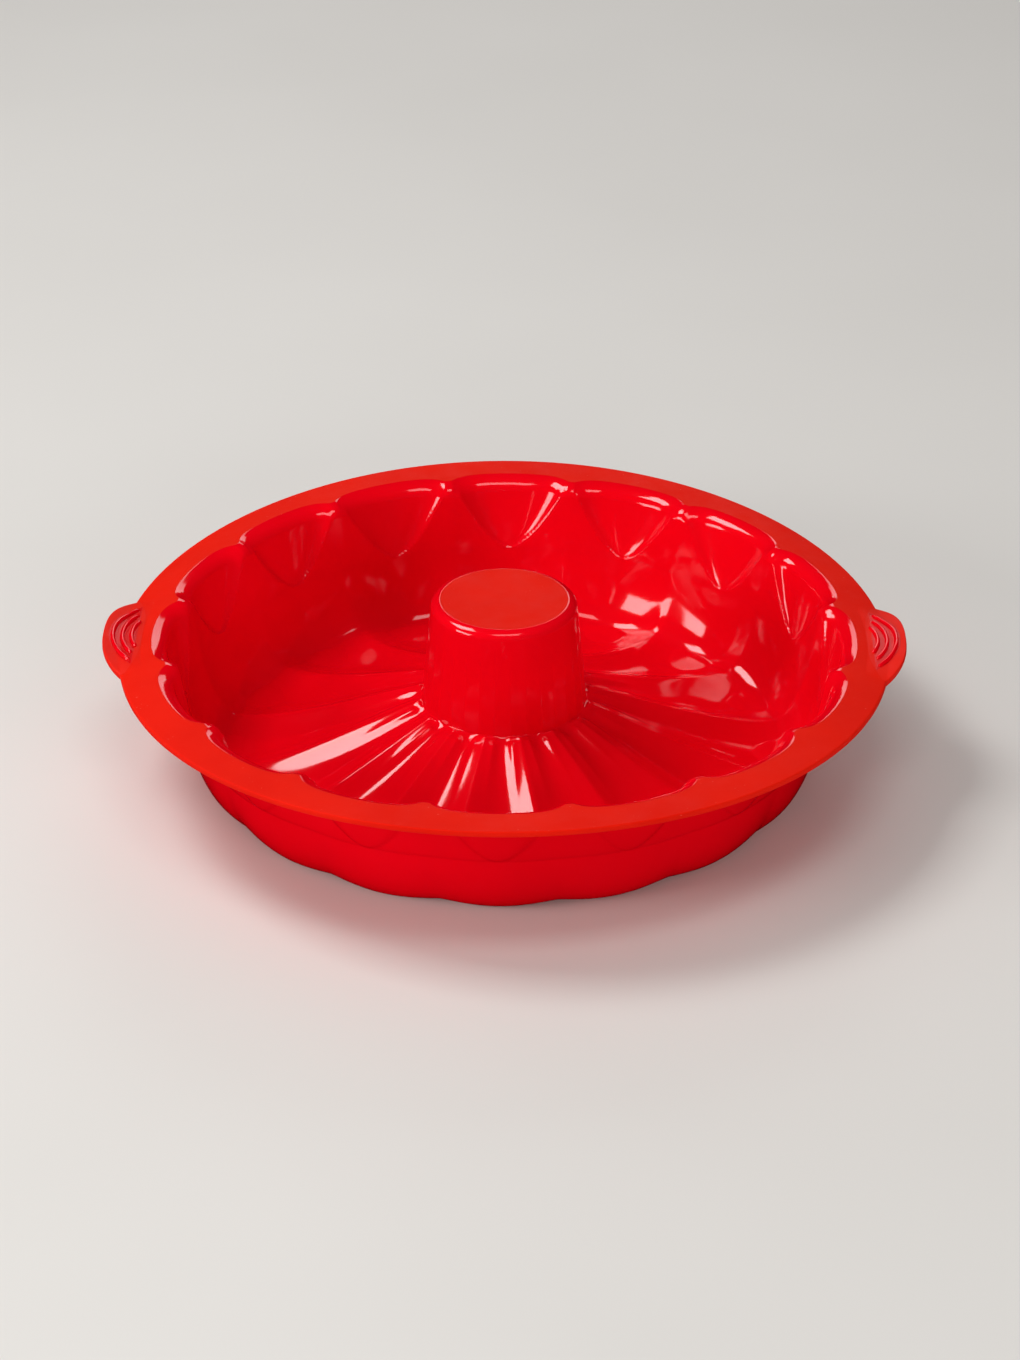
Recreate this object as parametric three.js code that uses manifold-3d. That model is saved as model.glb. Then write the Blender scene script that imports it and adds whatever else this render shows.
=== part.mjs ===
// Bundt pan: a fluted ring mould pressed in one shot from silicone rubber.
// Millimetres, +Z up. The origin is on the floor under the centre of the pan, and a grip tab points along +X.
// The rubber is one skin. It is modelled in its moulded regions: centre tube, fluted floor, fluted corner,
// petal wall, flat rim and two grip tabs, with a hairline gap where one region passes into the next.
import * as THREE from 'three';
import { ParametricGeometry } from 'three/addons/geometries/ParametricGeometry.js';
import { mergeVertices } from 'three/addons/utils/BufferGeometryUtils.js';
import Module from 'manifold-3d';

// Driving dimensions
const LOBES = 16;
const RIM_RADIUS = 125;
const RIM_HEIGHT = 47;
const SKIN = 1.8;
const RIM_THICKNESS = 2;
const REGION_GAP = 0.3;

// Meridian of the flute bottoms, from the foot of the tube out to the rim: radius, height
const TUBE_FOOT = [27, 22];
const SOLE = [90, SKIN - 0.8];
const PETAL_TIP = [103.2, 24];
const WALL_TOP = [107.4, RIM_HEIGHT];
const FLOOR_PULLS = [[44, 16], [68, SOLE[1]]];
const CORNER_PULL = [99.5, SOLE[1]];
const CORNER_TANGENT_SHARE = 0.15;
const TUBE_FLOOR_SEAM = 0.06;
const FLOOR_CORNER_SEAM = 0.93;
const CORNER_WALL_SEAM = 2;

// Flutes, ridges and petals
const RIDGE_AT_TUBE = 1.6;
const RIDGE_ON_FLOOR = 3.2;
const RIDGE_ON_WALL = 1;
const DEEPEST_STATION = 0.75;
const WALL_STATION = 2;
const LEVEL_STATION = 2.9;
const TOWARDS_AXIS = new THREE.Vector2(-1, 0);
const RIDGE_ROUNDING = 0.12;
const FINE_FLUTE_DEPTH = 0.6;
const FINE_FLUTE_START = 0.08;
const FINE_FLUTE_END = 0.6;
const PETAL_DEPTH = 3.2;
const PETAL_DEPTH_POWER = 0.5;
const PETAL_HALF_ANGLE = THREE.MathUtils.degToRad(10.6);
const PETAL_WIDTH_POWER = 0.6;
const PETAL_BULGE_POWER = 6;
const OUTSIDE_SHARE = 0.5;

// Centre tube
const TUBE_TOP_HEIGHT = 58.5;
const TUBE_TOP_RADIUS = 23.6;
const TUBE_EDGE_RADIUS = 2.8;
const TUBE_FOOT_RADIUS = 27;
const TUBE_FILLET = 0.8;

// Rim and grip tabs
const RIM_FILLET = 4;
const TAB_REACH = 5.5;
const TAB_ROOT = 7;
const TAB_LIFT = 3.4;
const TAB_HALF_ANGLE = THREE.MathUtils.degToRad(11.3);
const TAB_POWER = 3;
const TAB_END = 0.95;
const ARC_CENTRE = RIM_RADIUS - 22;
const ARC_COUNT = 3;
const ARC_OUTER_RADIUS = 24.4;
const ARC_SPACING = 3;
const ARC_WIDTH = 1.5;
const ARC_HEIGHT = 0.9;
const ARC_HALF_ANGLE = THREE.MathUtils.degToRad(44);
const ARC_ANGLE_STEP = THREE.MathUtils.degToRad(8);

// How the soft rubber relaxes: the sides droop beside the tabs and the body spreads along X
const DROOP = 4.4;
const SPREAD = 2.2;

// Facets
const ROUND_STEPS = LOBES * 8;
const RIDGE_CROWDING = 0.35;
const FLOOR_STEPS = 8;
const CORNER_STEPS = 6;
const WALL_STEPS = 5;
const TUBE_ROUND_STEPS = 64;
const FILLET_STEPS = 3;
const TAB_STEPS = 16;
const ARC_STEPS = 12;
const MERGE_TOLERANCE = 1e-3;

const wasm = await Module();
wasm.setup();

const glossRed = new THREE.MeshStandardMaterial({ color: 0xd40c14, roughness: 0.22, metalness: 0 });
const matteRed = new THREE.MeshStandardMaterial({ color: 0xea2413, roughness: 0.62, metalness: 0 });

// The corner runs into the wall along the wall's own line.
const wallFoot = vector(PETAL_TIP).lerp(vector(WALL_TOP), -CORNER_TANGENT_SHARE);
const profile = {
  floor: new THREE.CubicBezierCurve(vector(TUBE_FOOT), ...FLOOR_PULLS.map(vector), vector(SOLE)),
  corner: new THREE.CubicBezierCurve(vector(SOLE), vector(CORNER_PULL), wallFoot, vector(PETAL_TIP)),
  wall: new THREE.LineCurve(vector(PETAL_TIP), vector(WALL_TOP)),
};

function vector([x, y]) {
  return new THREE.Vector2(x, y);
}

function easeBetween(value, low, high) {
  return THREE.MathUtils.smoothstep(value, low, high);
}

// A station runs 0 to 1 over the floor, 1 to 2 round the corner and 2 to 3 up the wall.
function meridianAt(station) {
  const curves = [profile.floor, profile.corner, profile.wall];
  const index = THREE.MathUtils.clamp(Math.floor(station), 0, curves.length - 1);
  const point = curves[index].getPoint(station - index);
  const along = curves[index].getTangent(station - index);
  return { point, inward: new THREE.Vector2(-along.y, along.x) };
}

// Scallops with rounded cusps: 0 at the bottom of a flute, 1 on the ridge between two flutes.
function ridgeShape(angle, count) {
  const wave = Math.cos(count * angle / 2);
  const rounded = Math.sqrt(wave * wave + RIDGE_ROUNDING ** 2) - RIDGE_ROUNDING;
  return 1 - rounded / (Math.sqrt(1 + RIDGE_ROUNDING ** 2) - RIDGE_ROUNDING);
}

function ridgeHeight(station) {
  const rise = easeBetween(station, 0, DEEPEST_STATION);
  const fall = easeBetween(station, DEEPEST_STATION, WALL_STATION);
  return RIDGE_AT_TUBE + (RIDGE_ON_FLOOR - RIDGE_AT_TUBE) * rise - (RIDGE_ON_FLOOR - RIDGE_ON_WALL) * fall;
}

// Close to the tube each flute splits into two narrow ones.
function fineFluteHeight(station) {
  const start = easeBetween(station, 0, FINE_FLUTE_START);
  return FINE_FLUTE_DEPTH * start * (1 - easeBetween(station, FINE_FLUTE_START, FINE_FLUTE_END));
}

// Each petal is a recess that starts at a point halfway up the wall and opens towards the rim.
function petalDepth(station, angle) {
  const climb = station - 2;
  if (climb <= 0) return 0;
  const pitch = 2 * Math.PI / LOBES;
  const offset = Math.abs(angle - pitch * Math.round(angle / pitch));
  const share = offset / (PETAL_HALF_ANGLE * climb ** PETAL_WIDTH_POWER);
  return PETAL_DEPTH * climb ** PETAL_DEPTH_POWER * Math.max(0, 1 - share ** PETAL_BULGE_POWER);
}

// How far the face stands from the flute bottoms towards the cake.
function faceRelief(station, angle) {
  const ridge = ridgeHeight(station) * ridgeShape(angle, LOBES);
  const fine = fineFluteHeight(station) * ridgeShape(angle, 2 * LOBES);
  return ridge + fine - petalDepth(station, angle);
}

// The outside follows the flutes and petals less closely, so the ribs between them are thicker.
function outsideRelief(station, angle) {
  return THREE.MathUtils.lerp(-petalDepth(station, 0), faceRelief(station, angle), OUTSIDE_SHARE) - SKIN;
}

// Near the rim the flutes shift the wall level with the flange, so that its edge stays flat.
function skinPoint(station, shift, lowest) {
  const { point, inward } = meridianAt(station);
  inward.lerp(TOWARDS_AXIS, easeBetween(station, 2, LEVEL_STATION));
  return [point.x + inward.x * shift, Math.max(lowest, point.y + inward.y * shift)];
}

// What the pan stands on presses the flute bottoms flat, on the face as well as on the outside.
function facePoint(station, angle) {
  return skinPoint(station, faceRelief(station, angle), SKIN);
}

function outsidePoint(station, angle) {
  return skinPoint(station, outsideRelief(station, angle), 0);
}

// The thicker tabs curl up from the rim towards their tips.
function tabCurl(target, radius) {
  const along = THREE.MathUtils.clamp((radius - RIM_RADIUS + TAB_ROOT) / (TAB_ROOT + TAB_REACH), 0, 1);
  return TAB_LIFT * along * tabSwell(tabShare(Math.atan2(target.y, target.x)));
}

// The floor and the tube keep their shape; further out the rubber droops and spreads.
function relax(target) {
  const radius = Math.hypot(target.x, target.y);
  const cosine = radius > 0 ? target.x / radius : 1;
  const reach = THREE.MathUtils.clamp((radius - SOLE[0]) / (RIM_RADIUS - SOLE[0]), 0, 1);
  const spread = SPREAD * (1 - target.z / RIM_HEIGHT) * (radius / RIM_RADIUS) ** 2 * (2 * cosine ** 2 - 1);
  const scale = radius > TUBE_FOOT[0] ? 1 + spread / radius : 1;
  const curl = tabCurl(target, radius);
  target.x *= scale;
  target.y *= scale;
  target.z = Math.max(0, target.z - DROOP * reach ** 2 * cosine ** 2 + curl);
  return target;
}

function place(target, [radius, height], angle) {
  return relax(target.set(radius * Math.cos(angle), radius * Math.sin(angle), height));
}

// Steps crowd together at the ridges, where the surface turns most.
function crowdedAngle(share) {
  const even = 2 * Math.PI * share;
  return even + RIDGE_CROWDING / LOBES * Math.sin(LOBES * even);
}

// A solid all the way round the axis: corners(angle) lists the closed section as [radius, height] points.
function ringSolid(cornerCount, cornersAt) {
  const surface = (u, v, target) => {
    const angle = crowdedAngle(u);
    const corner = Math.round(v * cornerCount) % cornerCount;
    place(target, cornersAt(angle)[corner], angle);
  };
  return new ParametricGeometry(surface, ROUND_STEPS, cornerCount);
}

// A band of the skin between two stations.
function skinBand(from, to, steps) {
  const stationAt = (step) => from + (to - from) * step / steps;
  const cornersAt = (angle) => {
    const corners = [];
    for (let step = 0; step <= steps; step++) corners.push(outsidePoint(stationAt(step), angle));
    for (let step = steps; step >= 0; step--) corners.push(facePoint(stationAt(step), angle));
    return corners;
  };
  return ringSolid(2 * (steps + 1), cornersAt);
}

function stationAtHeight(height) {
  return 2 + (height - PETAL_TIP[1]) / (WALL_TOP[1] - PETAL_TIP[1]);
}

// Share across a grip tab, 0 in its middle and 1 where it runs out into the round rim.
function tabShare(angle) {
  const fromAxis = Math.asin(Math.abs(Math.sin(angle)));
  return Math.min(1, fromAxis / TAB_HALF_ANGLE);
}

function tabSwell(share) {
  return 1 - share ** TAB_POWER;
}

function flutedFloor() {
  const end = FLOOR_CORNER_SEAM - REGION_GAP / profile.floor.getLength();
  return skinBand(TUBE_FLOOR_SEAM, end, FLOOR_STEPS);
}

function flutedCorner() {
  const end = CORNER_WALL_SEAM - REGION_GAP / profile.corner.getLength();
  return skinBand(FLOOR_CORNER_SEAM, end, CORNER_STEPS);
}

function petalWall() {
  return skinBand(CORNER_WALL_SEAM, stationAtHeight(RIM_HEIGHT - RIM_FILLET - REGION_GAP), WALL_STEPS);
}

// The flat rim starts at the wall with a rounded turn.
function rimFlange() {
  const under = RIM_HEIGHT - RIM_THICKNESS;
  const softened = RIM_THICKNESS / 4;
  const wallEnd = stationAtHeight(RIM_HEIGHT - RIM_FILLET);
  const cornersAt = (angle) => {
    const edge = RIM_RADIUS - TAB_ROOT * tabSwell(tabShare(angle));
    const wall = facePoint(wallEnd, angle);
    const corner = facePoint(3, angle);
    const flat = [corner[0] + RIM_FILLET, RIM_HEIGHT];
    const turn = new THREE.QuadraticBezierCurve(vector(flat), vector(corner), vector(wall));
    return [
      wall,
      outsidePoint(wallEnd, angle),
      outsidePoint(stationAtHeight(under), angle),
      [edge - softened, under],
      [edge, under + softened],
      [edge, RIM_HEIGHT - softened],
      [edge - softened, RIM_HEIGHT],
      ...turn.getPoints(FILLET_STEPS).slice(0, FILLET_STEPS).map((point) => point.toArray()),
    ];
  };
  return ringSolid(cornersAt(0).length, cornersAt);
}

function centreTube() {
  const foot = TUBE_FOOT_RADIUS;
  const floorLevel = TUBE_FOOT[1];
  const { point, inward } = meridianAt(TUBE_FLOOR_SEAM - REGION_GAP / profile.floor.getLength());
  const under = point.clone().addScaledVector(inward, -SKIN);
  const outer = new THREE.Path();
  outer.moveTo(0, TUBE_TOP_HEIGHT);
  outer.lineTo(TUBE_TOP_RADIUS - TUBE_EDGE_RADIUS, TUBE_TOP_HEIGHT);
  outer.absarc(
    TUBE_TOP_RADIUS - TUBE_EDGE_RADIUS, TUBE_TOP_HEIGHT - TUBE_EDGE_RADIUS,
    TUBE_EDGE_RADIUS, Math.PI / 2, 0, true,
  );
  outer.lineTo(foot, floorLevel + TUBE_FILLET);
  outer.quadraticCurveTo(foot, floorLevel, point.x, point.y);
  outer.lineTo(under.x, under.y);
  outer.quadraticCurveTo(foot - SKIN, floorLevel - SKIN, foot - SKIN, floorLevel + TUBE_FILLET - SKIN);
  outer.lineTo(TUBE_TOP_RADIUS - SKIN, TUBE_TOP_HEIGHT - TUBE_EDGE_RADIUS);
  outer.lineTo(TUBE_TOP_RADIUS - TUBE_EDGE_RADIUS, TUBE_TOP_HEIGHT - SKIN);
  outer.lineTo(0, TUBE_TOP_HEIGHT - SKIN);
  const outline = outer.getPoints(FILLET_STEPS).reverse();
  return new THREE.LatheGeometry(outline, TUBE_ROUND_STEPS).rotateX(Math.PI / 2);
}

function toSolid(geometry) {
  const bare = geometry.clone();
  bare.deleteAttribute('normal');
  bare.deleteAttribute('uv');
  const merged = mergeVertices(bare, MERGE_TOLERANCE);
  const vertProperties = merged.attributes.position.array;
  const triVerts = new Uint32Array(merged.index.array);
  return new wasm.Manifold(new wasm.Mesh({ numProp: 3, vertProperties, triVerts }));
}

function toGeometry(solid) {
  const { vertProperties, triVerts } = solid.getMesh();
  const geometry = new THREE.BufferGeometry();
  geometry.setAttribute('position', new THREE.BufferAttribute(vertProperties, 3));
  geometry.setIndex(new THREE.BufferAttribute(triVerts, 1));
  return geometry;
}

// Outline of a tab in plan: its outer edge, then its root against the rim.
function tabOutline() {
  const edge = [];
  const root = [];
  for (let step = -TAB_STEPS; step <= TAB_STEPS; step++) {
    const share = TAB_END * step / TAB_STEPS;
    const swell = tabSwell(Math.abs(share));
    const outwards = new THREE.Vector2(1, 0).rotateAround(new THREE.Vector2(), share * TAB_HALF_ANGLE);
    edge.push(outwards.clone().multiplyScalar(RIM_RADIUS + TAB_REACH * swell));
    root.push(outwards.clone().multiplyScalar(RIM_RADIUS - TAB_ROOT * swell + REGION_GAP));
  }
  return new THREE.Shape([...edge, ...root.reverse()]);
}

// One of the raised arcs that a thumb feels on top of a tab.
function gripArc(index) {
  const shape = new THREE.Shape();
  const middle = ARC_OUTER_RADIUS - index * ARC_SPACING;
  const half = ARC_HALF_ANGLE - index * ARC_ANGLE_STEP;
  shape.absarc(ARC_CENTRE, 0, middle + ARC_WIDTH / 2, -half, half, false);
  shape.absarc(ARC_CENTRE, 0, middle - ARC_WIDTH / 2, half, -half, true);
  const depth = ARC_HEIGHT + RIM_THICKNESS / 2;
  const arc = new THREE.ExtrudeGeometry(shape, { depth, bevelEnabled: false, curveSegments: ARC_STEPS });
  return arc.translate(0, 0, RIM_HEIGHT - RIM_THICKNESS / 2);
}

function gripTab() {
  const plate = new THREE.ExtrudeGeometry(tabOutline(), { depth: RIM_THICKNESS, bevelEnabled: false });
  plate.translate(0, 0, RIM_HEIGHT - RIM_THICKNESS);
  let tab = toSolid(plate);
  for (let index = 0; index < ARC_COUNT; index++) tab = tab.add(toSolid(gripArc(index)));
  const geometry = toGeometry(tab);
  const positions = geometry.attributes.position;
  const corner = new THREE.Vector3();
  for (let i = 0; i < positions.count; i++) {
    relax(corner.fromBufferAttribute(positions, i));
    positions.setXYZ(i, corner.x, corner.y, corner.z);
  }
  return geometry;
}

const group = new THREE.Group();

function addRegion(name, geometry, material, turn = 0) {
  const mesh = new THREE.Mesh(geometry, material);
  mesh.name = name;
  mesh.rotation.z = turn;
  group.add(mesh);
}

addRegion('centre_tube', centreTube(), glossRed);
addRegion('fluted_floor', flutedFloor(), glossRed);
addRegion('fluted_corner', flutedCorner(), glossRed);
addRegion('petal_wall', petalWall(), glossRed);
addRegion('rim_flange', rimFlange(), matteRed);
addRegion('grip_tab_right', gripTab(), matteRed);
addRegion('grip_tab_left', gripTab(), matteRed, Math.PI);

export default group;
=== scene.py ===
import math

import bpy
import numpy as np
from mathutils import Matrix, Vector


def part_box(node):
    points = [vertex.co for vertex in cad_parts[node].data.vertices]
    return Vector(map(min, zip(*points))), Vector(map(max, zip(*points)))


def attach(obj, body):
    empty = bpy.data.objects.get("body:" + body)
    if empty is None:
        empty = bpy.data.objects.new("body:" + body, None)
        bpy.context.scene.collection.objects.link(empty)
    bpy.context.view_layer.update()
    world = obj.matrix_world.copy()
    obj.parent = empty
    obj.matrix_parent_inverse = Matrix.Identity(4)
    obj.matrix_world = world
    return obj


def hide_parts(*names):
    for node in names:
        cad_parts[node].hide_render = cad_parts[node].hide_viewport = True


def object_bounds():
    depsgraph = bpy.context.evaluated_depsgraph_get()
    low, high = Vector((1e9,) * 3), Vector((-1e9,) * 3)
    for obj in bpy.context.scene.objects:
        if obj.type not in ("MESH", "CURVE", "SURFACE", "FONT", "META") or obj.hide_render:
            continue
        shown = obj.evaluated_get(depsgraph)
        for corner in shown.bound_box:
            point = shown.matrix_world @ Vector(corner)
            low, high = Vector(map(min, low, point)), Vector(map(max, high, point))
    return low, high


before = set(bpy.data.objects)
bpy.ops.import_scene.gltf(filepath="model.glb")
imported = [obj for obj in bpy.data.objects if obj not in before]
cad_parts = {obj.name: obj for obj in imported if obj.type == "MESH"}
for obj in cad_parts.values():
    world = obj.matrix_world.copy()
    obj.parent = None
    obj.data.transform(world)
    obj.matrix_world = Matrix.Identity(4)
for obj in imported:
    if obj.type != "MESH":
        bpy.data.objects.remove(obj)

CAD_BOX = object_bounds()
MM = 0.001


def cad_top(node, axis):
    """A CAD node's highest coordinate on one axis, in millimetres."""
    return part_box(node)[1][axis] / MM


# Driving dimensions
LOBES = 16
RIM_RADIUS = cad_top("rim_flange", 1)
RIM_HEIGHT = cad_top("rim_flange", 2)
TUBE_HEIGHT = cad_top("centre_tube", 2)
SKIN = 1.8
RIM_THICKNESS = 2.0

# Meridian of the flute bottoms: radius, height
TUBE_FOOT = (27.0, 22.0)
SOLE = (90.0, SKIN - 0.8)
PETAL_TIP = (103.2, 24.0)
WALL_TOP = (107.4, RIM_HEIGHT)
FLOOR_PULLS = ((44.0, 16.0), (68.0, SOLE[1]))
CORNER_PULL = (99.5, SOLE[1])
CORNER_TANGENT_SHARE = 0.15
TUBE_FLOOR_SEAM = 0.06
FLOOR_CORNER_SEAM = 0.93
CORNER_WALL_SEAM = 2.0

# Flutes, ridges and petals
RIDGE_AT_TUBE = 1.6
RIDGE_ON_FLOOR = 3.2
RIDGE_ON_WALL = 1.0
DEEPEST_STATION = 0.75
WALL_STATION = 2.0
LEVEL_STATION = 2.9
RIDGE_ROUNDING = 0.12
FINE_FLUTE_DEPTH = 0.6
FINE_FLUTE_START = 0.08
FINE_FLUTE_END = 0.6
TUBE_FLUTE_DEPTH = 0.15
PETAL_DEPTH = 3.2
PETAL_DEPTH_POWER = 0.5
PETAL_HALF_ANGLE = math.radians(10.6)
PETAL_WIDTH_POWER = 0.6
PETAL_BULGE_POWER = 6.0
PETAL_EDGE_ROUNDING = 0.12
PETAL_CUTOFF = 10
OUTSIDE_SHARE = 0.5

# Centre tube
TUBE_TOP_RADIUS = 23.6
TUBE_EDGE_RADIUS = 2.8
TUBE_FOOT_RADIUS = 27.0
TUBE_FILLET = 0.8
TUBE_CREASE = 0.7

# Rim and grip tabs
RIM_FILLET = 4.0
RIM_CREASE = 1.3
UNDER_FILLET = 1.2
RIM_EDGE_ROUNDING = 0.55
RIM_EDGE_POWER = 0.6
RIM_MARGIN = 1.2
TAB_REACH = 5.5
TAB_ROOT = 7.0
TAB_LIFT = 3.4
TAB_HALF_ANGLE = math.radians(11.3)
TAB_POWER = 3
ARC_CENTRE = RIM_RADIUS - 22
ARC_COUNT = 3
ARC_OUTER_RADIUS = 24.4
ARC_SPACING = 3.0
ARC_WIDTH = 1.5
ARC_HEIGHT = 0.9
ARC_HALF_ANGLE = math.radians(44)
ARC_ANGLE_STEP = math.radians(8)
ARC_END_POWER = 16
ARC_END_SIZE = 0.02
LENS_MARGIN = 1.5
LENS_CHORD = 119.4
LENS_BLUR = 0.5
LENS_ROUGHNESS = 0.26

# How the soft rubber relaxes
DROOP = 4.4
SPREAD = 2.2

# Mesh fineness
COLUMNS_PER_LOBE = 48
COLUMNS = LOBES * COLUMNS_PER_LOBE
RIDGE_CROWDING = 0.35
FACE_ROWS = {
    "edge": 14, "side": 26, "foot": 16, "floor": 90,
    "corner": 60, "wall": 70, "fillet": 10, "rim": 20,
}
UNDER_ROWS = {
    "edge": 7, "side": 13, "foot": 8, "floor": 45,
    "corner": 30, "wall": 35, "fillet": 6, "rim": 10,
}
TAB_ROWS = 12
EDGE_ROWS = 11
TUBE_TOP_RINGS = 6
ARC_AROUND, ARC_ALONG = 20, 72

# Studio, in metres and watts. Each lamp has a direction from the pan, a distance, a size and a power.
FLOOR_SIZE = 6.0
WORLD_STRENGTH = 0.28
LAMPS = (
    ("key", (-0.52, 0.16, 0.84), 1.4, (0.55, 0.5), 9.0),
    ("low_left", (-0.84, -0.42, 0.32), 1.4, (0.6, 0.45), 7.6),
    ("overhead", (0.05, -0.32, 0.94), 1.5, (0.7, 0.35), 3.4),
    ("back_low", (0.05, 0.86, 0.46), 1.5, (0.6, 0.35), 1.6),
)
FRONT_FILL = ("front_fill", (0.35, -0.90, 0.26), 1.6, (1.2, 0.6), 9.0)
CAMERA_TARGET = (0.0019, 0.0, 0.0283)
CAMERA_ELEVATION = math.radians(29.45)
CAMERA_AZIMUTH = math.radians(-89.0)
CAMERA_DISTANCE = 1.231
CAMERA_LENS = 99.5

# Slots and linear colours; where there are two, the material drifts from one to the other
GLOSS = "gloss_silicone"
MATTE = "matte_silicone"
GLOSS_REDS = (0.82, 0.0006, 0.0075), (0.76, 0.0005, 0.0062)
MATTE_REDS = (0.77, 0.0100, 0.0020), (0.72, 0.0080, 0.0016)
LENS_RED = (0.66, 0.003, 0.004)
GLOSS_DUST = (0.9, 0.25, 0.22)
MATTE_DUST = (0.95, 0.35, 0.28)
FLOOR_GREYS = (0.74, 0.72, 0.69), (0.70, 0.68, 0.65)


# Helpers for curves and blends

def ease(value, low, high):
    share = np.clip((value - low) / (high - low), 0.0, 1.0)
    return share * share * (3.0 - 2.0 * share)


def steps(count, closed=False):
    return np.linspace(0.0, 1.0, count, endpoint=closed)


def towards(start, end, distance):
    """The point that far from start on the way to end."""
    start, end = np.array(start, float), np.array(end, float)
    return start + (end - start) * distance / np.linalg.norm(end - start)


def cubic(points, shares):
    """Places and directions along a cubic Bezier curve."""
    p = np.array(points, float)
    t = shares[:, None]
    place = (1 - t) ** 3 * p[0] + 3 * (1 - t) ** 2 * t * p[1] + 3 * (1 - t) * t ** 2 * p[2] + t ** 3 * p[3]
    slope = (1 - t) ** 2 * (p[1] - p[0]) + 2 * (1 - t) * t * (p[2] - p[1]) + t ** 2 * (p[3] - p[2])
    return place, slope


def straight(start, end, shares):
    """Places and directions along a straight line."""
    start, end = np.array(start, float), np.array(end, float)
    place = start + shares[:, None] * (end - start)
    return place, np.repeat((end - start)[None, :], len(shares), axis=0)


def rounded_corner(before, corner, after, shares):
    """Places and directions along a curve that leaves towards the corner point and arrives from it."""
    a, b, c = (np.array(point, float) for point in (before, corner, after))
    t = shares[:, None]
    return (1 - t) ** 2 * a + 2 * (1 - t) * t * b + t ** 2 * c, (1 - t) * (b - a) + t * (c - b)


# Shape round the axis

def column_angles():
    """The angle of each column, crowded together at the ridges, where the surface turns most."""
    even = 2.0 * math.pi * np.arange(COLUMNS) / COLUMNS
    return even + RIDGE_CROWDING / LOBES * np.sin(LOBES * even)


ANGLES = column_angles()


def ridge_shape(count):
    """Scallops with rounded cusps: 0 at the bottom of a flute, 1 on the ridge between two flutes."""
    wave = np.cos(count * ANGLES / 2)
    rounded = np.sqrt(wave ** 2 + RIDGE_ROUNDING ** 2) - RIDGE_ROUNDING
    return 1 - rounded / (math.sqrt(1 + RIDGE_ROUNDING ** 2) - RIDGE_ROUNDING)


def ridge_height(station):
    start = RIDGE_AT_TUBE * ease(station, -0.1, 0.0)
    rise = ease(station, 0.0, DEEPEST_STATION)
    fall = ease(station, DEEPEST_STATION, WALL_STATION)
    return start + (RIDGE_ON_FLOOR - RIDGE_AT_TUBE) * rise - (RIDGE_ON_FLOOR - RIDGE_ON_WALL) * fall


def fine_flute_height(station):
    """Faint flutes down the tube, which deepen at its foot and die out over the floor."""
    on_tube = TUBE_FLUTE_DEPTH * ease(station, -0.95, -0.3)
    at_foot = (FINE_FLUTE_DEPTH - TUBE_FLUTE_DEPTH) * ease(station, 0.0, FINE_FLUTE_START)
    return (on_tube + at_foot) * (1 - ease(station, FINE_FLUTE_START, FINE_FLUTE_END))


def petal_depth(station, angles):
    """The recess of each petal, from its tip halfway up the wall to the rim, with a softly rounded edge."""
    pitch = 2.0 * math.pi / LOBES
    offset = np.abs(angles - pitch * np.round(angles / pitch))
    climb = np.clip(station - CORNER_WALL_SEAM, 1e-3, 1.0)[:, None]
    below = np.clip(CORNER_WALL_SEAM - station, 0.0, None)[:, None]
    share = offset / (PETAL_HALF_ANGLE * climb ** PETAL_WIDTH_POWER)
    depth = PETAL_DEPTH * climb ** PETAL_DEPTH_POWER * (1 - share ** PETAL_BULGE_POWER)
    depth = depth - PETAL_CUTOFF * PETAL_DEPTH * below
    return 0.5 * (depth + np.sqrt(depth ** 2 + PETAL_EDGE_ROUNDING ** 2))


def skin_shift(station, outside):
    """How far the skin stands from the flute bottoms towards the cake, for each row and column. The outside
    follows the flutes and petals less closely than the face does, so the ribs between them are thicker."""
    ridges = ridge_height(station)[:, None] * ridge_shape(LOBES)
    fine = fine_flute_height(station)[:, None] * ridge_shape(2 * LOBES)
    relief = ridges + fine - petal_depth(station, ANGLES)
    if not outside:
        return relief
    deepest = -petal_depth(station, np.zeros(1))
    return deepest + OUTSIDE_SHARE * (relief - deepest) - SKIN


def tab_swell(sine):
    """1 in the middle of a grip tab, 0 where it runs out into the round rim."""
    share = np.minimum(1.0, np.arcsin(np.abs(sine)) / TAB_HALF_ANGLE)
    return 1 - share ** TAB_POWER


# Shape along the section

def wall_at(height):
    """Place and station of the wall's flute bottom at a height."""
    share = (height - PETAL_TIP[1]) / (WALL_TOP[1] - PETAL_TIP[1])
    return (PETAL_TIP[0] + share * (WALL_TOP[0] - PETAL_TIP[0]), height), CORNER_WALL_SEAM + share


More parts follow.
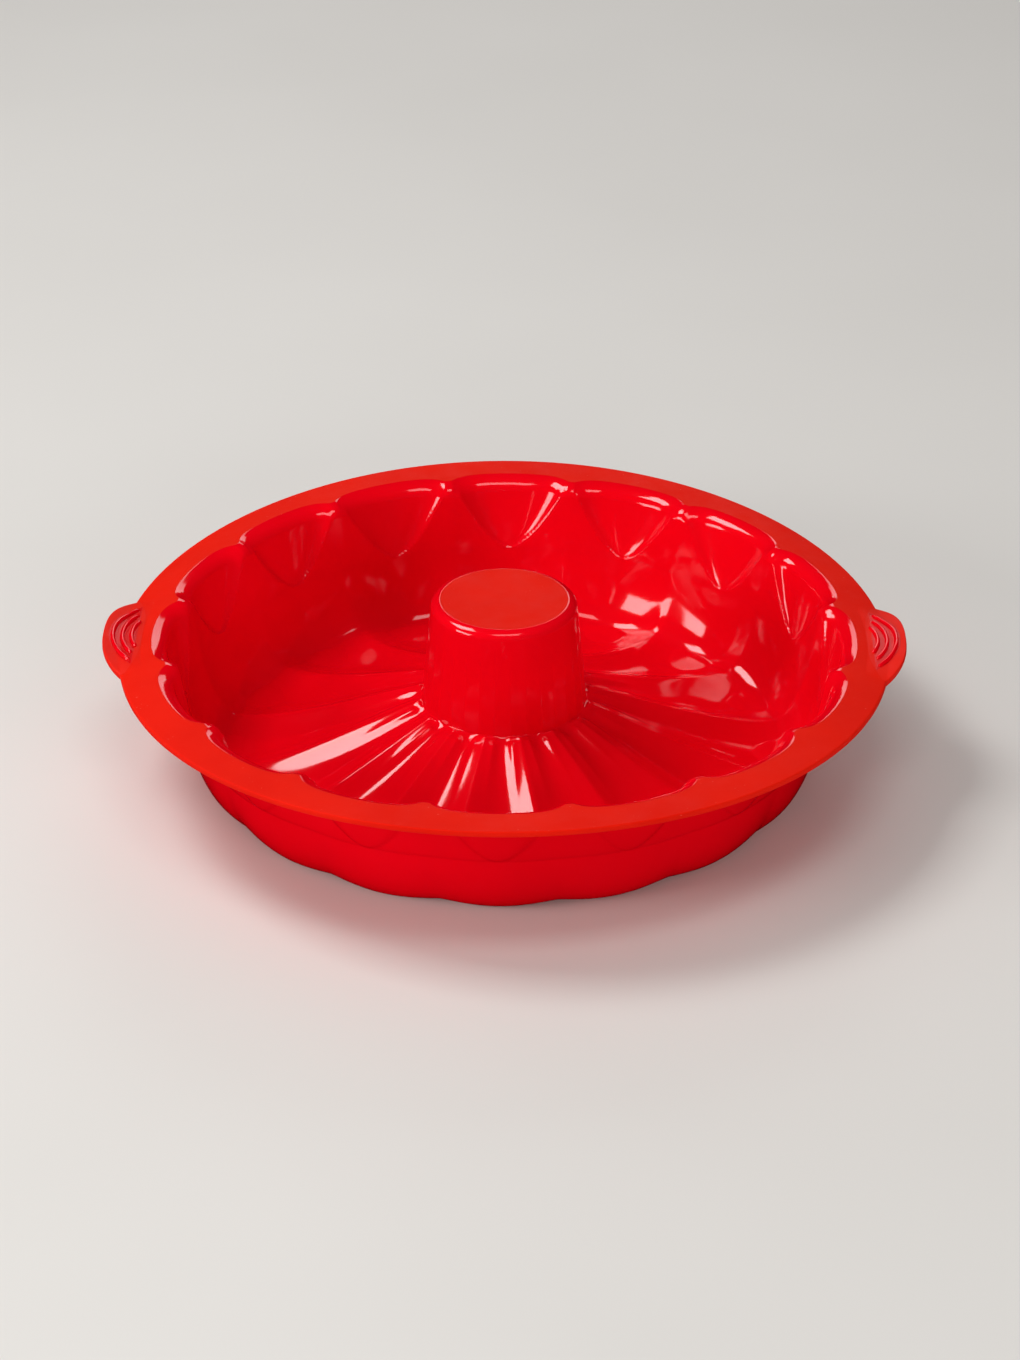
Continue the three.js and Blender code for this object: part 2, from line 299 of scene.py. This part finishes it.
def meridian(rows, wall_height):
    """Rows from the edge of the tube's flat top to that height on the wall. Each has a place, a direction
    towards the cake and a station: -1 to 0 down the tube, 0 to 1 over the floor, 1 to 2 round the corner and
    2 to 3 up the wall."""
    top_corner = (TUBE_TOP_RADIUS, TUBE_HEIGHT)
    foot_corner = (TUBE_FOOT_RADIUS, TUBE_FOOT[1])
    disc_edge = (TUBE_TOP_RADIUS - TUBE_EDGE_RADIUS, TUBE_HEIGHT)
    edge_corner = (TUBE_TOP_RADIUS, TUBE_HEIGHT - TUBE_CREASE)
    side_start = towards(top_corner, foot_corner, TUBE_EDGE_RADIUS)
    side_end = towards(foot_corner, top_corner, TUBE_FILLET)
    floor = (TUBE_FOOT, *FLOOR_PULLS, SOLE)
    floor_start = cubic(floor, np.array([TUBE_FLOOR_SEAM]))[0][0]
    wall_foot = np.array(PETAL_TIP) - CORNER_TANGENT_SHARE * (np.array(WALL_TOP) - np.array(PETAL_TIP))
    wall_end, wall_end_station = wall_at(wall_height)
    edge, side, foot = steps(rows["edge"]), steps(rows["side"]), steps(rows["foot"])
    along_floor = TUBE_FLOOR_SEAM + (1 - TUBE_FLOOR_SEAM) * steps(rows["floor"])
    corner, wall = steps(rows["corner"]), steps(rows["wall"], closed=True)
    stretches = [
        (rounded_corner(disc_edge, edge_corner, side_start, edge), -1 + 0.1 * edge),
        (straight(side_start, side_end, side), -0.9 + 0.8 * side),
        (rounded_corner(side_end, foot_corner, floor_start, foot), -0.1 + (0.1 + TUBE_FLOOR_SEAM) * foot),
        (cubic(floor, along_floor), along_floor),
        (cubic((SOLE, CORNER_PULL, wall_foot, PETAL_TIP), corner), 1 + corner),
        (straight(PETAL_TIP, wall_end, wall), 2 + (wall_end_station - 2) * wall),
    ]
    place = np.concatenate([stretch[0][0] for stretch in stretches])
    slope = np.concatenate([stretch[0][1] for stretch in stretches])
    station = np.concatenate([stretch[1] for stretch in stretches])
    slope /= np.linalg.norm(slope, axis=1)[:, None]
    level = ease(station, CORNER_WALL_SEAM, LEVEL_STATION)[:, None]
    inward = (1 - level) * np.stack([-slope[:, 1], slope[:, 0]], axis=1) + level * np.array([-1.0, 0.0])
    return place, inward, station


def skin_rows(rows, wall_height, outside):
    """Radius and height of the skin at every row and column, and each row's station."""
    place, inward, station = meridian(rows, wall_height)
    shift = skin_shift(station, outside)
    radius = place[:, 0:1] + inward[:, 0:1] * shift
    height = np.maximum(place[:, 1:2] + inward[:, 1:2] * shift, 0.0 if outside else SKIN)
    return radius, height, station


def wall_radius(height, outside):
    """Radius of the wall's face, or of its outside, at a height near the rim."""
    place, station = wall_at(height)
    return place[0] - skin_shift(np.array([station]), outside)[0]


def fillet_rows(count, wall_height, flat_height, outside):
    """Rows of the rounded turn from the wall into the flat of the rim. On the face it meets the flat at a
    crisp crease."""
    size = abs(flat_height - wall_height)
    start = wall_radius(wall_height, outside)
    corner = wall_radius(flat_height, outside)
    pull_height = flat_height - (0.0 if outside else RIM_CREASE)
    t = steps(count + 1)[1:, None]
    radius = (1 - t) ** 2 * start + 2 * (1 - t) * t * corner + t ** 2 * (corner + size)
    height = (1 - t) ** 2 * wall_height + 2 * (1 - t) * t * pull_height + t ** 2 * flat_height
    return radius, np.broadcast_to(height, radius.shape), corner + size


def flat_rows(shares, inner, outer, height):
    radius = inner + shares[:, None] * (outer - inner)
    return radius, np.full_like(radius, height)


def edge_rows(outer):
    """Rows round the blunt outer edge of the rim."""
    turn = np.linspace(math.pi / 2, -math.pi / 2, EDGE_ROWS)[:, None]
    radius = outer - RIM_EDGE_ROUNDING + RIM_EDGE_ROUNDING * np.abs(np.cos(turn)) ** RIM_EDGE_POWER
    rise = np.sign(np.sin(turn)) * np.abs(np.sin(turn)) ** RIM_EDGE_POWER
    height = RIM_HEIGHT - RIM_THICKNESS / 2 + rise * RIM_THICKNESS / 2
    return radius, np.broadcast_to(height, radius.shape)


def relax(points):
    """The floor and the tube keep their shape; further out the rubber droops and spreads. The thicker tabs
    curl up from the rim towards their tips."""
    x, y, z = points[..., 0], points[..., 1], points[..., 2]
    radius = np.maximum(np.hypot(x, y), 1e-6)
    cosine = x / radius
    reach = np.clip((radius - SOLE[0]) / (RIM_RADIUS - SOLE[0]), 0.0, 1.0)
    spread = SPREAD * (1 - z / RIM_HEIGHT) * (radius / RIM_RADIUS) ** 2 * (2 * cosine ** 2 - 1)
    scale = np.where(radius > TUBE_FOOT[0], 1 + spread / radius, 1.0)
    along = np.clip((radius - RIM_RADIUS + TAB_ROOT) / (TAB_ROOT + TAB_REACH), 0.0, 1.0)
    curl = TAB_LIFT * along * tab_swell(y / radius)
    settled = np.maximum(0.0, z - DROOP * reach ** 2 * cosine ** 2 + curl)
    return np.stack([x * scale, y * scale, settled], axis=-1)


def master_surface():
    """Places and normals of every row and column, and the row numbers where regions begin and end."""
    under = RIM_HEIGHT - RIM_THICKNESS
    swell = tab_swell(np.sin(ANGLES))
    outer = RIM_RADIUS + TAB_REACH * swell
    root = RIM_RADIUS - RIM_MARGIN - (TAB_ROOT - RIM_MARGIN) * swell
    lip = outer - RIM_EDGE_ROUNDING
    face_radius, face_height, face_station = skin_rows(FACE_ROWS, RIM_HEIGHT - RIM_FILLET, False)
    back_radius, back_height, back_station = skin_rows(UNDER_ROWS, under - UNDER_FILLET, True)
    fillet_r, fillet_z, rim_start = fillet_rows(
        FACE_ROWS["fillet"], RIM_HEIGHT - RIM_FILLET, RIM_HEIGHT, False)
    cove_r, cove_z, cove_end = fillet_rows(
        UNDER_ROWS["fillet"], under - UNDER_FILLET, under, True)
    blocks = [
        (face_radius, face_height),
        (fillet_r, fillet_z),
        flat_rows(steps(FACE_ROWS["rim"]), rim_start, root, RIM_HEIGHT),
        flat_rows(steps(TAB_ROWS), root, lip, RIM_HEIGHT),
        edge_rows(outer),
        flat_rows(1 - steps(TAB_ROWS + 1)[1:], root, lip, under),
        flat_rows(1 - steps(UNDER_ROWS["rim"]), cove_end, root, under),
        (cove_r[::-1], cove_z[::-1]),
        (back_radius[::-1], back_height[::-1]),
    ]
    counts = np.cumsum([len(block[0]) for block in blocks])
    radius = np.concatenate([np.broadcast_to(block[0], (len(block[0]), COLUMNS)) for block in blocks])
    height = np.concatenate([np.broadcast_to(block[1], (len(block[1]), COLUMNS)) for block in blocks])
    points = np.stack([radius * np.cos(ANGLES), radius * np.sin(ANGLES), height], axis=-1)
    points = relax(points)
    last = len(points) - 1
    seams = {
        "floor": (int(np.searchsorted(face_station, TUBE_FLOOR_SEAM)),
                  last - int(np.searchsorted(back_station, TUBE_FLOOR_SEAM))),
        "corner": (int(np.searchsorted(face_station, FLOOR_CORNER_SEAM)),
                   last - int(np.searchsorted(back_station, FLOOR_CORNER_SEAM))),
        "wall": (int(np.searchsorted(face_station, CORNER_WALL_SEAM)),
                 last - int(np.searchsorted(back_station, CORNER_WALL_SEAM))),
        "rim": (int(counts[1]), int(counts[6])),
        "tab": (int(counts[2]), int(counts[5])),
        "end": (0, last),
    }
    return points, surface_normals(points), seams


def surface_normals(points):
    along_rows = np.gradient(points, axis=0)
    along_columns = np.roll(points, -1, axis=1) - np.roll(points, 1, axis=1)
    normals = np.cross(along_rows, along_columns)
    normals /= np.maximum(np.linalg.norm(normals, axis=-1), 1e-12)[..., None]
    normals[0] = (0.0, 0.0, 1.0)
    normals[-1] = (0.0, 0.0, -1.0)
    return normals


POINTS, NORMALS, SEAMS = master_surface()


# Meshes

def make_object(name, vertices, faces, corner_normals=None):
    mesh = bpy.data.meshes.new(name)
    mesh.from_pydata((vertices * MM).tolist(), [], faces)
    mesh.shade_smooth()
    if corner_normals is not None:
        mesh.normals_split_custom_set(corner_normals)
    piece = bpy.data.objects.new(name, mesh)
    bpy.context.collection.objects.link(piece)
    return piece


def vertex_id(row, column):
    return row * COLUMNS + column % COLUMNS


def grid_faces(first_row, last_row, columns):
    """Quads of the master surface between two rows, over these columns."""
    rows = np.arange(first_row, last_row)[:, None]
    columns = np.asarray(columns)[None, :]
    corners = [(rows, columns), (rows + 1, columns), (rows + 1, columns + 1), (rows, columns + 1)]
    return np.stack([vertex_id(row, column) for row, column in corners], axis=-1).reshape(-1, 4)


def joining_faces(upper_row, lower_row, columns, outward):
    """Quads straight through the skin, from its face to its back, where a region ends."""
    faces = []
    for column in columns:
        face = [vertex_id(upper_row, column), vertex_id(upper_row, column + 1),
                vertex_id(lower_row, column + 1), vertex_id(lower_row, column)]
        faces.append(face[::-1] if outward else face)
    return faces


def end_face(first_row, last_row, column, reverse):
    """One face across the section of a tab or of the rim beside it."""
    face = [vertex_id(row, column) for row in range(first_row, last_row + 1)]
    return face[::-1] if reverse else face


def region(name, smooth_faces, cut_faces):
    """A closed piece of the master surface: smooth where it is skin, flat where it was cut off."""
    flat_points = POINTS.reshape(-1, 3)
    flat_normals = NORMALS.reshape(-1, 3)
    cut_corners = np.concatenate([np.array(face) for face in cut_faces])
    used = np.unique(np.concatenate([smooth_faces.ravel(), cut_corners]))
    renumber = np.full(len(flat_points), -1)
    renumber[used] = np.arange(len(used))
    corner_normals = flat_normals[smooth_faces.ravel()].tolist()
    for face in cut_faces:
        a, b, c = (flat_points[face[k]] for k in (0, len(face) // 3, 2 * len(face) // 3))
        normal = np.cross(b - a, c - a)
        normal = normal / max(np.linalg.norm(normal), 1e-12)
        corner_normals += [normal.tolist()] * len(face)
    faces = renumber[smooth_faces].tolist() + [renumber[face].tolist() for face in cut_faces]
    return make_object(name, flat_points[used], faces, corner_normals)


def band(name, start, end):
    """A region all the way round the pan, between two seams."""
    (face_start, back_start), (face_end, back_end) = SEAMS[start], SEAMS[end]
    everywhere = np.arange(COLUMNS)
    smooth = np.concatenate([
        grid_faces(face_start, face_end, everywhere),
        grid_faces(back_end, back_start, everywhere),
    ])
    cuts = joining_faces(face_start, back_start, everywhere, outward=False)
    cuts += joining_faces(face_end, back_end, everywhere, outward=True)
    return region(name, smooth, cuts)


def tab_columns(side):
    """Columns under a grip tab: side 1 is at +X and -1 at -X."""
    middle = 0 if side > 0 else COLUMNS // 2
    reach = int(np.count_nonzero(tab_swell(np.sin(ANGLES))[: COLUMNS // 4] > 0.0)) - 1
    return np.arange(middle - reach, middle + reach)


def rim():
    first, last = SEAMS["rim"]
    tab_first, tab_last = SEAMS["tab"]
    covered = np.concatenate([tab_columns(1), tab_columns(-1)]) % COLUMNS
    bare = np.setdiff1d(np.arange(COLUMNS), covered)
    everywhere = np.arange(COLUMNS)
    smooth = np.concatenate([
        grid_faces(first, tab_first, everywhere),
        grid_faces(tab_first, tab_last, bare),
        grid_faces(tab_last, last, everywhere),
    ])
    cuts = joining_faces(first, last, everywhere, outward=False)
    cuts += joining_faces(tab_first, tab_last, covered, outward=True)
    for side in (1, -1):
        columns = tab_columns(side)
        cuts.append(end_face(tab_first, tab_last, columns[0], reverse=False))
        cuts.append(end_face(tab_first, tab_last, columns[-1] + 1, reverse=True))
    return region("rim", smooth, cuts)


def tab(name, side):
    first, last = SEAMS["tab"]
    columns = tab_columns(side)
    cuts = joining_faces(first, last, columns, outward=False)
    cuts.append(end_face(first, last, columns[0], reverse=True))
    cuts.append(end_face(first, last, columns[-1] + 1, reverse=False))
    return region(name, grid_faces(first, last, columns), cuts)


def tube_top():
    """The flat closed end of the tube: rings and a fan on its face and on its back."""
    rings = TUBE_TOP_RINGS
    edge_radius = TUBE_TOP_RADIUS - TUBE_EDGE_RADIUS
    vertices, faces = [], []
    for height in (TUBE_HEIGHT, TUBE_HEIGHT - SKIN):
        for ring in range(rings, 0, -1):
            radius = edge_radius * ring / rings
            vertices += [(radius * math.cos(a), radius * math.sin(a), height) for a in ANGLES]
        vertices.append((0.0, 0.0, height))
    back = rings * COLUMNS + 1
    for column in range(COLUMNS):
        after = (column + 1) % COLUMNS
        for ring in range(rings - 1):
            a, b = ring * COLUMNS, (ring + 1) * COLUMNS
            faces.append([a + column, a + after, b + after, b + column])
            faces.append([back + b + column, back + b + after, back + a + after, back + a + column])
        inner = (rings - 1) * COLUMNS
        faces.append([inner + column, inner + after, back - 1])
        faces.append([back + inner + after, back + inner + column, 2 * back - 1])
        faces.append([column, back + column, back + after, after])
    piece = make_object("tube_top", np.array(vertices), faces)
    for face in piece.data.polygons:
        face.use_smooth = False
    return piece


def grip_arcs(name, side):
    """Three raised beads on a tab, one inside the other, half sunk in the rubber."""
    around, along = ARC_AROUND, ARC_ALONG
    vertices, faces = [], []
    for index in range(ARC_COUNT):
        middle = ARC_OUTER_RADIUS - index * ARC_SPACING
        half = ARC_HALF_ANGLE - index * ARC_ANGLE_STEP
        start = len(vertices)
        for step in range(along + 1):
            share = math.cos(math.pi * step / along)
            size = math.sqrt(max(ARC_END_SIZE ** 2, 1 - share ** ARC_END_POWER))
            for corner in range(around):
                turn = 2 * math.pi * corner / around
                radius = middle + ARC_WIDTH / 2 * size * math.cos(turn)
                height = RIM_HEIGHT + ARC_HEIGHT * size * math.sin(turn)
                x = ARC_CENTRE + radius * math.cos(half * share)
                y = radius * math.sin(half * share)
                vertices.append((side * x, side * y, height))
        for step in range(along):
            a, b = start + step * around, start + (step + 1) * around
            for corner in range(around):
                after = (corner + 1) % around
                faces.append([a + corner, a + after, b + after, b + corner])
        faces.append([start + corner for corner in range(around - 1, -1, -1)])
        faces.append([start + along * around + corner for corner in range(around)])
    return make_object(name, relax(np.array(vertices)), faces)


# Materials

def new_material(name, roughness, specular):
    material = bpy.data.materials.new(name)
    material.use_nodes = True
    tree = material.node_tree
    shader = tree.nodes["Principled BSDF"]
    shader.inputs["IOR"].default_value = 1.47
    shader.inputs["Specular IOR Level"].default_value = specular
    shader.inputs["Roughness"].default_value = roughness
    return material, tree, shader


def noise(tree, scale, detail=2.0, roughness=0.5):
    coordinates = tree.nodes.new("ShaderNodeTexCoord")
    texture = tree.nodes.new("ShaderNodeTexNoise")
    texture.inputs["Scale"].default_value = scale
    texture.inputs["Detail"].default_value = detail
    texture.inputs["Roughness"].default_value = roughness
    tree.links.new(coordinates.outputs["Object"], texture.inputs["Vector"])
    return texture.outputs["Fac"]


def remap(tree, value, low, high, out_low, out_high):
    node = tree.nodes.new("ShaderNodeMapRange")
    for name, number in (("From Min", low), ("From Max", high), ("To Min", out_low), ("To Max", out_high)):
        node.inputs[name].default_value = number
    tree.links.new(value, node.inputs["Value"])
    return node.outputs["Result"]


def mix_colours(tree, share, first, second):
    """Blend of two colours. Each is an (r, g, b) or the output of another node."""
    node = tree.nodes.new("ShaderNodeMix")
    node.data_type = "RGBA"
    tree.links.new(share, node.inputs["Factor"])
    for socket, colour in ((node.inputs["A"], first), (node.inputs["B"], second)):
        if isinstance(colour, tuple):
            socket.default_value = (*colour, 1.0)
        else:
            tree.links.new(colour, socket)
    return node.outputs["Result"]


def bump(tree, height, strength, distance, before=None):
    node = tree.nodes.new("ShaderNodeBump")
    node.inputs["Strength"].default_value = strength
    node.inputs["Distance"].default_value = distance
    tree.links.new(height, node.inputs["Height"])
    if before is not None:
        tree.links.new(before, node.inputs["Normal"])
    return node.outputs["Normal"]


def gloss_material():
    """Polished-mould silicone: deep red, with slow waves in its shine and a trace of dust."""
    material, tree, shader = new_material("gloss_silicone", 0.2, 0.5)
    patches = remap(tree, noise(tree, 22.0, 3.0), 0.35, 0.65, 0.0, 1.0)
    colour = mix_colours(tree, patches, *GLOSS_REDS)
    dust = remap(tree, noise(tree, 1900.0, 1.0), 0.80, 0.87, 0.0, 0.2)
    colour = mix_colours(tree, dust, colour, GLOSS_DUST)
    tree.links.new(colour, shader.inputs["Base Color"])
    haze = remap(tree, noise(tree, 60.0, 4.0, 0.6), 0.3, 0.7, 0.05, 0.10)
    tree.links.new(haze, shader.inputs["Roughness"])
    waves = bump(tree, noise(tree, 45.0, 1.0), 0.12, 0.0004)
    grain = bump(tree, noise(tree, 1400.0, 2.0), 0.04, 0.0001, waves)
    tree.links.new(grain, shader.inputs["Normal"])
    soften(shader)
    return material


def matte_colour(tree):
    patches = remap(tree, noise(tree, 35.0, 4.0), 0.35, 0.65, 0.0, 1.0)
    return mix_colours(tree, patches, *MATTE_REDS)


def scuffs(tree):
    """Roughness of the blasted mould face, which varies in faint scuffs."""
    return remap(tree, noise(tree, 120.0, 5.0, 0.65), 0.35, 0.65, 0.44, 0.62)


def matte_material():
    """Silicone from a blasted mould face: an orange red with a fine grain and faint scuffs."""
    material, tree, shader = new_material("matte_silicone", 0.55, 0.05)
    colour = matte_colour(tree)
    dust = remap(tree, noise(tree, 1500.0, 1.0), 0.77, 0.84, 0.0, 0.5)
    colour = mix_colours(tree, dust, colour, MATTE_DUST)
    tree.links.new(colour, shader.inputs["Base Color"])
    tree.links.new(scuffs(tree), shader.inputs["Roughness"])
    grain = bump(tree, noise(tree, 2600.0, 3.0, 0.6), 0.35, 0.00012)
    waves = bump(tree, noise(tree, 90.0, 1.0), 0.12, 0.0005, grain)
    tree.links.new(waves, shader.inputs["Normal"])
    soften(shader)
    return material


def lens_mask(tree):
    """1 on the polished lens round the arcs of either tab, 0 elsewhere."""
    coordinates = tree.nodes.new("ShaderNodeTexCoord")
    split = tree.nodes.new("ShaderNodeSeparateXYZ")
    tree.links.new(coordinates.outputs["Object"], split.inputs["Vector"])
    either_side = tree.nodes.new("ShaderNodeMath")
    either_side.operation = "ABSOLUTE"
    tree.links.new(split.outputs["X"], either_side.inputs[0])
    flat = tree.nodes.new("ShaderNodeCombineXYZ")
    tree.links.new(either_side.outputs["Value"], flat.inputs["X"])
    tree.links.new(split.outputs["Y"], flat.inputs["Y"])
    distance = tree.nodes.new("ShaderNodeVectorMath")
    distance.operation = "DISTANCE"
    tree.links.new(flat.outputs["Vector"], distance.inputs[0])
    distance.inputs[1].default_value = (ARC_CENTRE * MM, 0.0, 0.0)
    edge, chord, blur = (ARC_OUTER_RADIUS + LENS_MARGIN) * MM, LENS_CHORD * MM, LENS_BLUR * MM
    inside = remap(tree, distance.outputs["Value"], edge - blur, edge, 1.0, 0.0)
    beyond = remap(tree, either_side.outputs["Value"], chord, chord + blur, 0.0, 1.0)
    both = tree.nodes.new("ShaderNodeMath")
    both.operation = "MULTIPLY"
    tree.links.new(inside, both.inputs[0])
    tree.links.new(beyond, both.inputs[1])
    return both.outputs["Value"]


def tab_material():
    """The rim's matte silicone, polished and deeper in colour round the arcs."""
    material, tree, shader = new_material("tab_silicone", 0.5, 0.12)
    lens = lens_mask(tree)
    colour = mix_colours(tree, lens, matte_colour(tree), LENS_RED)
    tree.links.new(colour, shader.inputs["Base Color"])
    smoother = tree.nodes.new("ShaderNodeMix")
    tree.links.new(lens, smoother.inputs["Factor"])
    tree.links.new(scuffs(tree), smoother.inputs["A"])
    smoother.inputs["B"].default_value = LENS_ROUGHNESS
    tree.links.new(smoother.outputs["Result"], shader.inputs["Roughness"])
    grain = bump(tree, noise(tree, 2600.0, 3.0, 0.6), 0.3, 0.0001)
    tree.links.new(grain, shader.inputs["Normal"])
    soften(shader)
    return material


def soften(shader):
    """A little light passes through the rubber."""
    shader.inputs["Subsurface Weight"].default_value = 0.12
    shader.inputs["Subsurface Radius"].default_value = (1.0, 0.12, 0.08)
    shader.inputs["Subsurface Scale"].default_value = 0.002


def floor_material():
    material, tree, shader = new_material("pale_floor", 0.6, 0.3)
    patches = remap(tree, noise(tree, 3.0, 3.0), 0.3, 0.7, 0.0, 1.0)
    colour = mix_colours(tree, patches, *FLOOR_GREYS)
    tree.links.new(colour, shader.inputs["Base Color"])
    return material


# Assembly

def finish_piece(piece, material, slot_name, *nodes):
    piece.data.materials.append(material)
    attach(piece, "root")
    if nodes:
        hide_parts(*nodes)


def build_pan():
    gloss, matte, grip = gloss_material(), matte_material(), tab_material()
    finish_piece(band("tube_side", "end", "floor"), gloss, GLOSS, "centre_tube")
    finish_piece(tube_top(), matte, MATTE, "centre_tube")
    finish_piece(band("floor_flutes", "floor", "corner"), gloss, GLOSS, "fluted_floor")
    finish_piece(band("corner_flutes", "corner", "wall"), gloss, GLOSS, "fluted_corner")
    finish_piece(band("wall_petals", "wall", "rim"), gloss, GLOSS, "petal_wall")
    finish_piece(rim(), matte, MATTE, "rim_flange")
    for word, side in (("right", 1), ("left", -1)):
        finish_piece(tab("tab_" + word, side), grip, MATTE, "grip_tab_" + word)
        finish_piece(grip_arcs("arcs_" + word, side), gloss, GLOSS, "grip_tab_" + word)


def pale_floor():
    """The floor is left out of the gloss, so that it doesn't bleach the red of the outside wall."""
    half = FLOOR_SIZE / 2
    corners = [(-half, -half, 0.0), (half, -half, 0.0), (half, half, 0.0), (-half, half, 0.0)]
    ground = make_object("studio_ground", np.array(corners) / MM, [[0, 1, 2, 3]])
    ground.data.materials.append(floor_material())
    ground.visible_glossy = False


def aim(thing, target):
    direction = Vector(target) - thing.location
    thing.rotation_euler = direction.to_track_quat("-Z", "Y").to_euler()


def soft_box(name, direction, distance, size, power, target, seen_in_gloss=True):
    light = bpy.data.lights.new(name, "AREA")
    light.shape = "RECTANGLE"
    light.size, light.size_y = size
    light.energy = power
    lamp = bpy.data.objects.new(name, light)
    lamp.visible_glossy = seen_in_gloss
    lamp.location = Vector(target) + Vector(direction).normalized() * distance
    aim(lamp, target)
    bpy.context.collection.objects.link(lamp)


def lighting(target):
    """Soft boxes that draw the highlights, and a dim world and a front fill that only light the rubber."""
    world = bpy.data.worlds.new("studio")
    world.use_nodes = True
    background = world.node_tree.nodes["Background"]
    background.inputs["Color"].default_value = (1.0, 0.98, 0.96, 1.0)
    background.inputs["Strength"].default_value = WORLD_STRENGTH
    bpy.context.scene.world = world
    world.cycles_visibility.glossy = False
    for name, direction, distance, size, power in LAMPS:
        soft_box(name, direction, distance, size, power, target)
    soft_box(*FRONT_FILL, target, seen_in_gloss=False)


def camera(target):
    """Looks down at the middle of the pan from the front, through a long lens."""
    lens = bpy.data.cameras.new("camera")
    lens.sensor_width = 36.0
    lens.lens = CAMERA_LENS
    view = bpy.data.objects.new("camera", lens)
    flat = math.cos(CAMERA_ELEVATION)
    away = (flat * math.cos(CAMERA_AZIMUTH), flat * math.sin(CAMERA_AZIMUTH), math.sin(CAMERA_ELEVATION))
    view.location = Vector(target) + Vector(away) * CAMERA_DISTANCE
    aim(view, target)
    bpy.context.collection.objects.link(view)
    bpy.context.scene.camera = view


build_pan()
pale_floor()
low, high = CAD_BOX
middle = [(low[axis] + high[axis]) / 2 for axis in range(3)]
lighting(middle)
camera(CAMERA_TARGET)
bpy.context.scene.view_settings.view_transform = "Standard"
